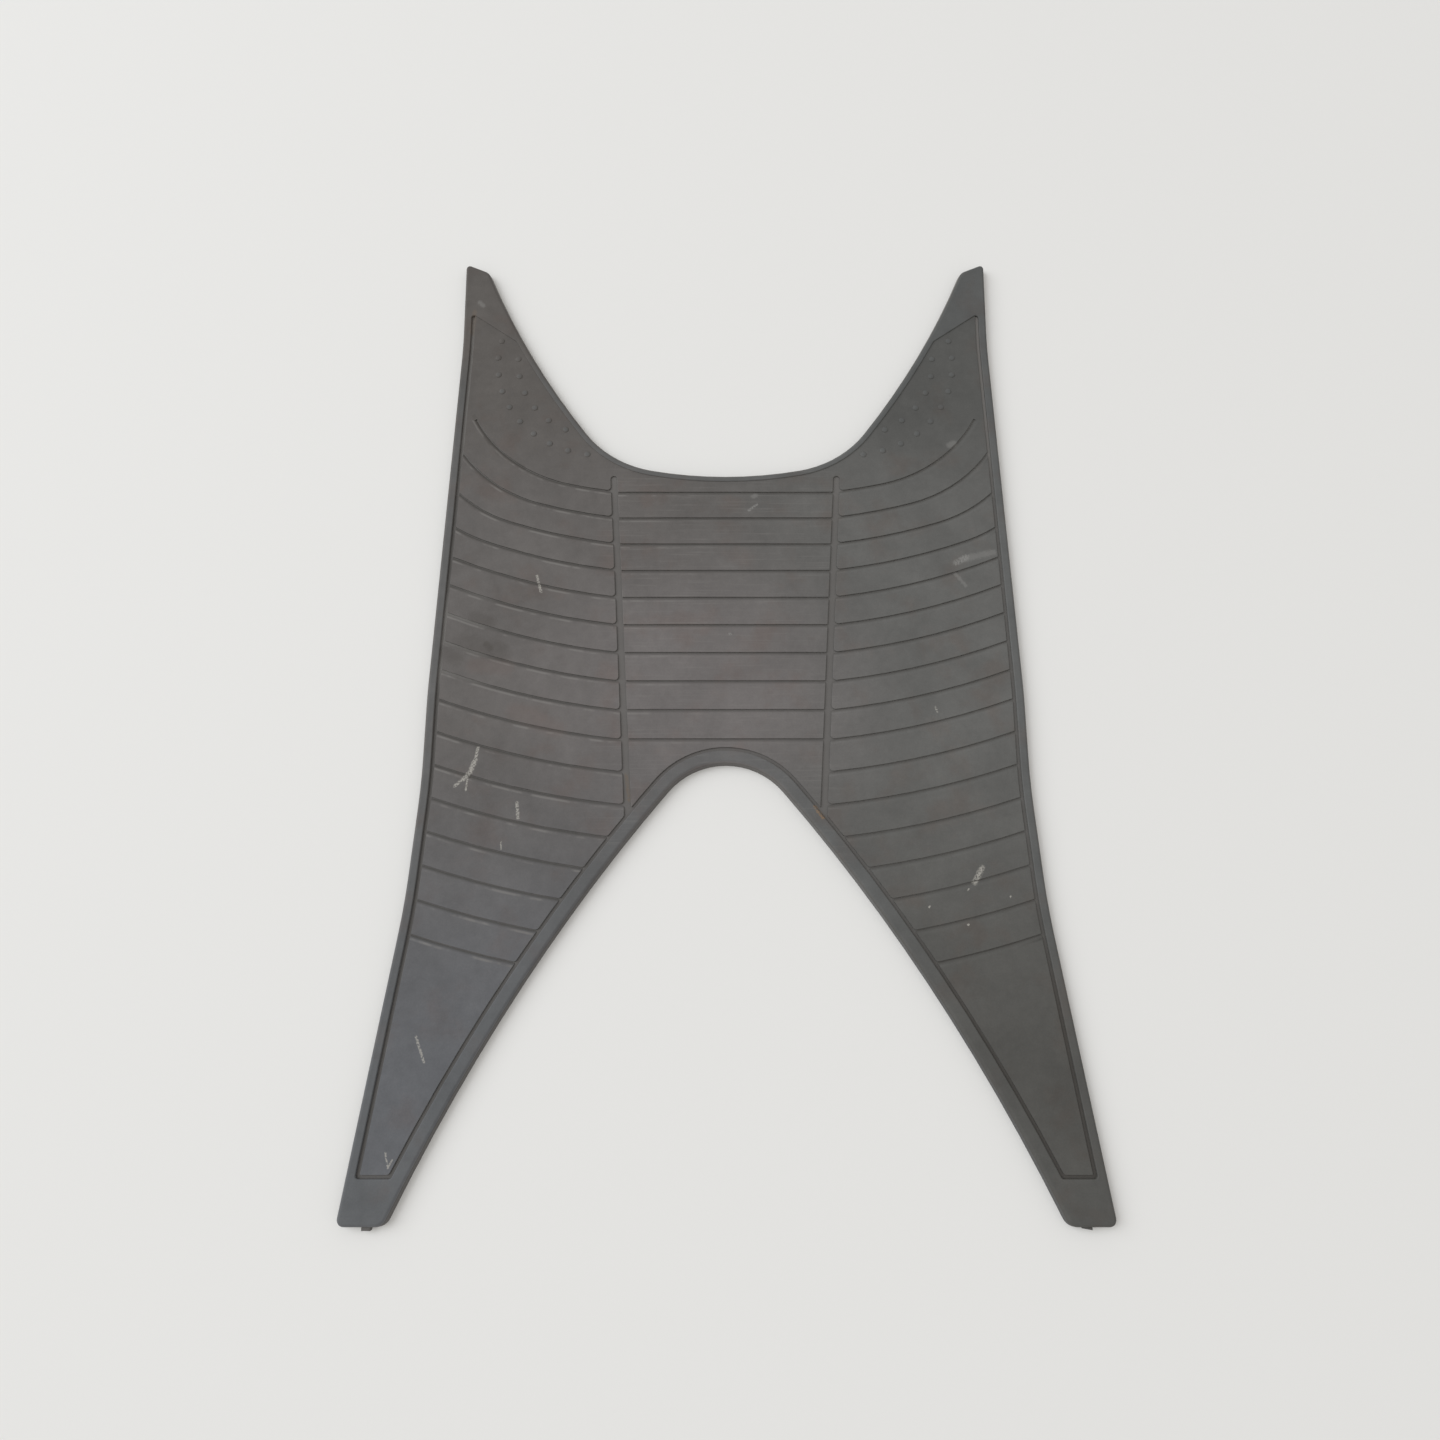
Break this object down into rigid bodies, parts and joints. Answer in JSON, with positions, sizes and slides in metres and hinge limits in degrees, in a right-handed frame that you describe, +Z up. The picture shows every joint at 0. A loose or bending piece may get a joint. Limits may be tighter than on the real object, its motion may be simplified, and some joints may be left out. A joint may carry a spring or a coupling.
{
  "type": "scooter floor mat",
  "caption": "One-piece moulded rubber mat for a scooter's footboard, with a raised rim, grooved treads, two drain gutters, studded front horns and two rear tails.",
  "frame": {"origin": "middle of the flat underside, below the centre of the mat's length and width", "axes": "+X across the mat to the rider's right, +Y forward to the horns, +Z up through the treads"},
  "size_m": [0.4536, 0.6645, 0.0065],
  "materials": {
    "rubber": "matte, dusty"
  },
  "bodies": {
    "root": {"floor_mat": "rubber"}
  },
  "joints": []
}
